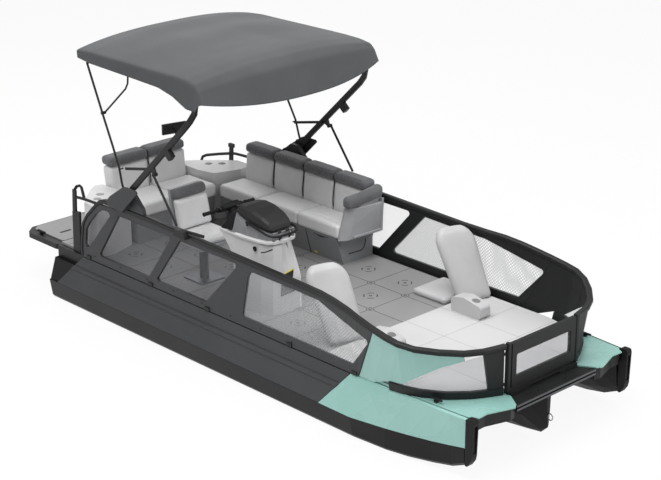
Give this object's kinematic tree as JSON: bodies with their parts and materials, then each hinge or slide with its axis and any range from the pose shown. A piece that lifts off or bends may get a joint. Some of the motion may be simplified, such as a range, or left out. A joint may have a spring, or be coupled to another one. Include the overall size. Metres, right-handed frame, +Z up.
{
  "type": "pontoon boat",
  "caption": "Pontoon boat: three hulls, fenced deck, sofa and benches, helm console, bow gate, jet drive and a folding sun top.",
  "frame": {"origin": "on the floor under the middle of the overall box; Z = 0 is the underside of the keels", "axes": "+X towards the bow, +Y to port, +Z up"},
  "size_m": [6.4899, 2.43, 2.884],
  "materials": {
    "base_grey": "satin",
    "canopy_fabric": "woven",
    "cap_colour": "gloss",
    "console_light": "satin",
    "deck_plastic": "embossed",
    "engine_metal": "cast",
    "frame_dark": "satin",
    "frame_grey": "satin",
    "hull_black": "satin",
    "mesh": "perforated film",
    "metal_grey": "satin",
    "pad_white": "foam, embossed",
    "panel_grey": "satin",
    "rubber_black": "matte",
    "shell_grey": "satin",
    "soft_lid": "matte",
    "trim_black": "matte",
    "vinyl_dark": "heather",
    "vinyl_light": "satin",
    "window": "clear"
  },
  "bodies": {
    "boat": {"hull_starboard": "hull_black", "hull_port": "hull_black", "hull_center": "hull_black", "side_panel_starboard": "panel_grey", "side_panel_port": "panel_grey", "bow_cap_starboard": "cap_colour", "bow_cap_port": "cap_colour", "stem_guards": "rubber_black", "deck": "frame_dark", "floor_tiles": "deck_plastic", "bow_pads": "pad_white", "swim_platform": "frame_dark", "bow_step": "frame_dark", "fence_starboard": "frame_grey", "fence_port": "frame_dark", "panes_starboard": "window", "panes_port": "window", "mesh_panes": "mesh", "top_rails": "frame_dark", "bow_fence": "frame_dark", "bow_panes": "window", "fence_caps": "cap_colour", "gate_posts": "frame_dark", "console_body": "console_light", "steering_pod": "trim_black", "helm_pedestal": "metal_grey", "sofa_base": "base_grey", "sofa_shell": "shell_grey", "sofa_seat": "vinyl_light", "sofa_backs": "vinyl_light", "bolsters": "vinyl_dark", "bench_base": "base_grey", "bench_seat": "vinyl_light", "bench_back": "vinyl_light", "corner_consoles": "console_light", "slab_pad": "vinyl_light", "chaise_backs": "vinyl_light", "armrest_boxes": "vinyl_light", "arm_brackets": "frame_grey", "strut_clamps": "frame_dark", "aft_rails": "frame_dark", "cap_liners": "frame_dark", "jet_pump": "trim_black", "engine_block": "engine_metal", "deck_hardware": "trim_black", "fence_clips": "frame_dark"},
    "gate": {"gate_frame": "frame_dark", "gate_pane": "window"},
    "steering": {"handlebar": "rubber_black"},
    "nozzle": {"jet_nozzle": "trim_black"},
    "seat": {"helm_seat": "shell_grey", "helm_cushions": "vinyl_light"},
    "lid": {"console_lid": "soft_lid"},
    "top_arms": {"sun_arms": "frame_grey", "mirror_box": "trim_black", "canopy": "canopy_fabric"},
    "top_rear": {"rear_bow": "frame_dark"},
    "top_mid": {"mid_bow": "frame_dark"},
    "top_stays": {"stays": "frame_grey"},
    "top_struts": {"struts": "frame_dark"}
  },
  "joints": [
    {"name": "gate_hinge", "type": "hinge", "parent": "boat", "child": "gate", "pos_m": [3.001, -0.424, 0.82], "axis": [0, 0, 1], "range_deg": [0, 95]},
    {"name": "steering_turn", "type": "hinge", "parent": "boat", "child": "steering", "pos_m": [-0.21, -0.635, 1.25], "axis": [-0.5, 0, 0.866], "range_deg": [-30, 30]},
    {"name": "nozzle_yaw", "type": "hinge", "parent": "boat", "child": "nozzle", "pos_m": [-2.798, 0, 0.19], "axis": [0, 0, 1], "range_deg": [-15, 15]},
    {"name": "seat_swivel", "type": "hinge", "parent": "boat", "child": "seat", "pos_m": [-0.77, -0.61, 0.9], "axis": [0, 0, 1], "continuous": true},
    {"name": "lid_hinge", "type": "hinge", "parent": "boat", "child": "lid", "pos_m": [0.428, -0.635, 1.392], "axis": [0, 1, 0], "range_deg": [0, 70]},
    {"name": "top_fold", "type": "hinge", "parent": "boat", "child": "top_arms", "pos_m": [-1.28, 0, 1.43], "axis": [0, -1, 0], "range_deg": [0, 110], "deforming": ["canopy"]},
    {"name": "rear_bow_fold", "type": "hinge", "parent": "top_arms", "child": "top_rear", "pos_m": [-1.285, 0, 1.49], "axis": [0, -1, 0], "range_deg": [-54, 0]},
    {"name": "mid_bow_fold", "type": "hinge", "parent": "top_rear", "child": "top_mid", "pos_m": [-1.618, 0, 2.192], "axis": [0, -1, 0], "range_deg": [0, 60]},
    {"name": "stay_fold", "type": "hinge", "parent": "top_arms", "child": "top_stays", "pos_m": [-0.906, 0, 1.784], "axis": [0, -1, 0], "range_deg": [0, 31]},
    {"name": "strut_fold", "type": "hinge", "parent": "top_arms", "child": "top_struts", "pos_m": [-0.814, 0, 1.758], "axis": [0, -1, 0], "range_deg": [-80, 0]}
  ],
  "couplings": [
    {"joint": "nozzle_yaw", "follows": "steering_turn", "ratio": -0.5},
    {"joint": "rear_bow_fold", "follows": "top_fold", "ratio": -0.49},
    {"joint": "mid_bow_fold", "follows": "top_fold", "ratio": 0.54},
    {"joint": "stay_fold", "follows": "top_fold", "ratio": 0.28},
    {"joint": "strut_fold", "follows": "top_fold", "ratio": -0.72}
  ]
}
